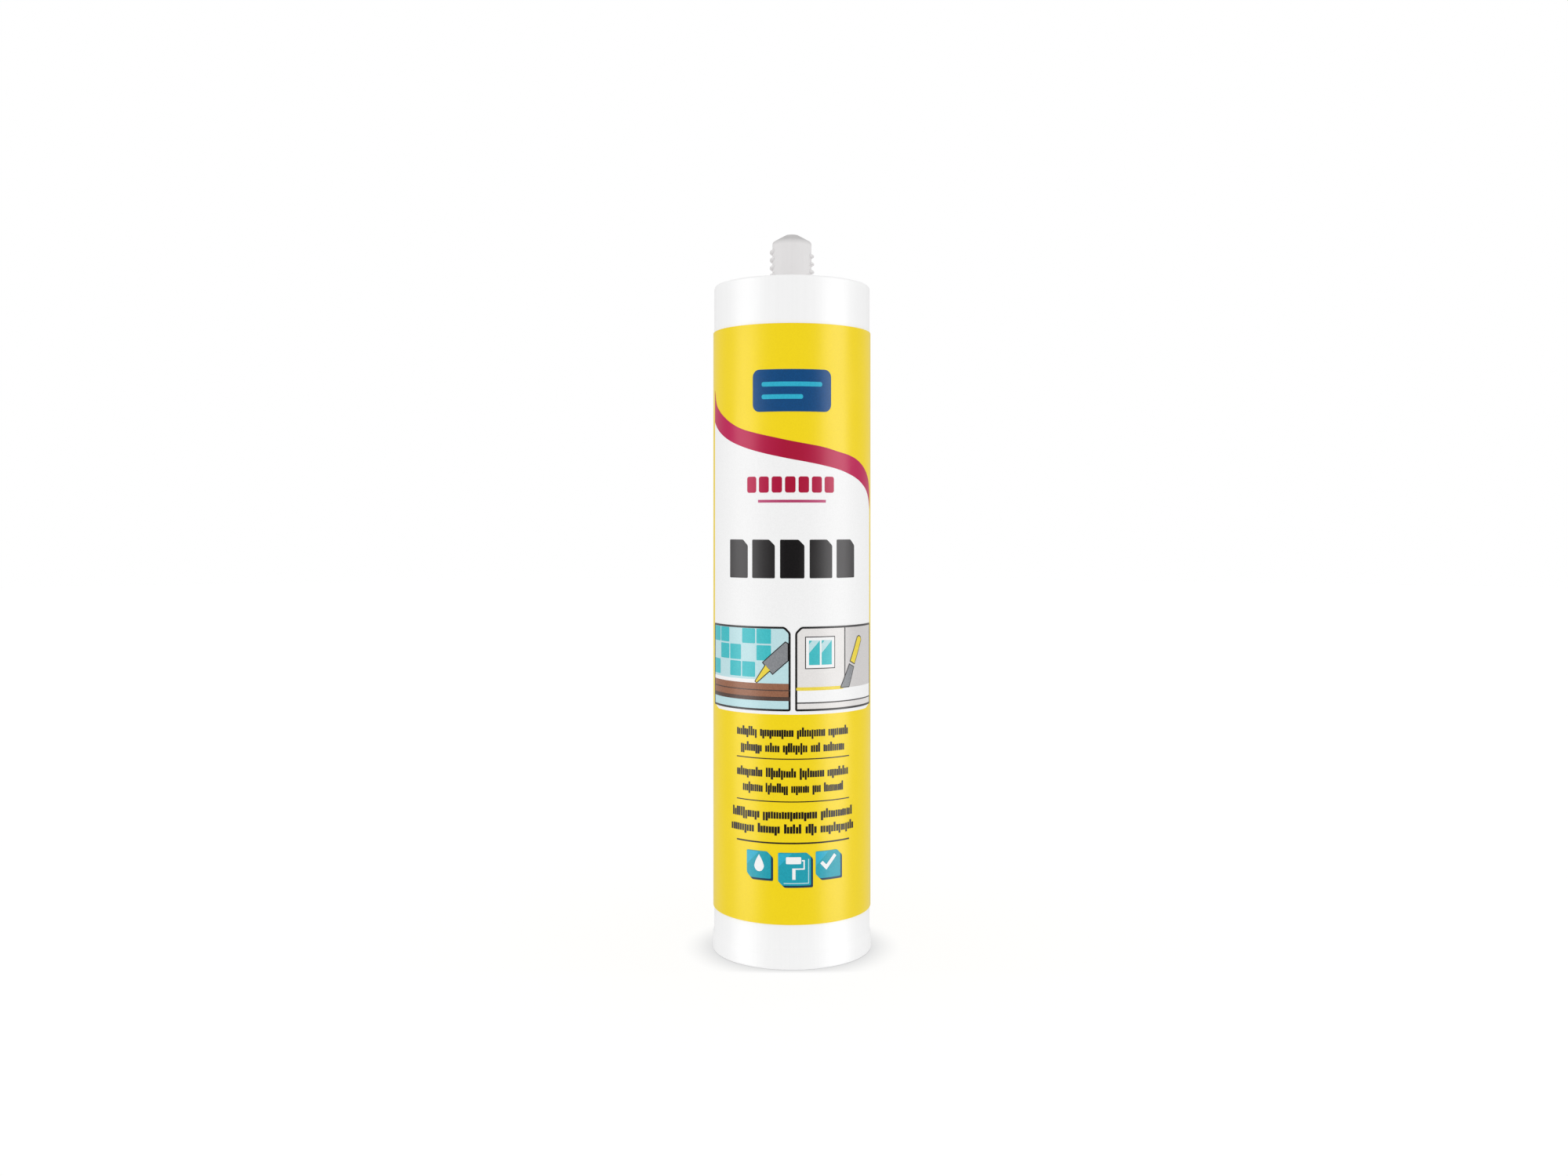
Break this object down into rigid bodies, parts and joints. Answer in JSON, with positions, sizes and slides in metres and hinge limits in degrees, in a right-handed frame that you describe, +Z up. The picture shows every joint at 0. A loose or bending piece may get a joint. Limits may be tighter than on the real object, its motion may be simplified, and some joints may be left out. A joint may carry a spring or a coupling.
{
  "type": "caulk tube",
  "caption": "Upright plastic cartridge of caulk with a wrapped label, a short closed threaded neck and an open rear end that holds a sliding piston.",
  "frame": {"origin": "centre of the rear rim, on the surface that the tube stands on", "axes": "+Z up along the tube's axis towards the neck, -Y out through the middle of the printed front, +X to the right of it"},
  "size_m": [0.0504, 0.0504, 0.2269],
  "materials": {
    "barrel_plastic": "moulded white polyethylene, satin",
    "label_film": "printed film, satin varnish",
    "piston_plastic": "moulded natural polyethylene, matte",
    "paste": "smooth wet acrylic paste"
  },
  "bodies": {
    "barrel": {"barrel": "barrel_plastic", "label": "label_film", "sealant": "paste"},
    "piston": {"piston": "piston_plastic"}
  },
  "joints": [
    {"name": "piston_slide", "type": "slide", "parent": "barrel", "child": "piston", "axis": [0, 0, 1], "range_m": [0, 0.1775], "deforming": ["sealant"]}
  ]
}
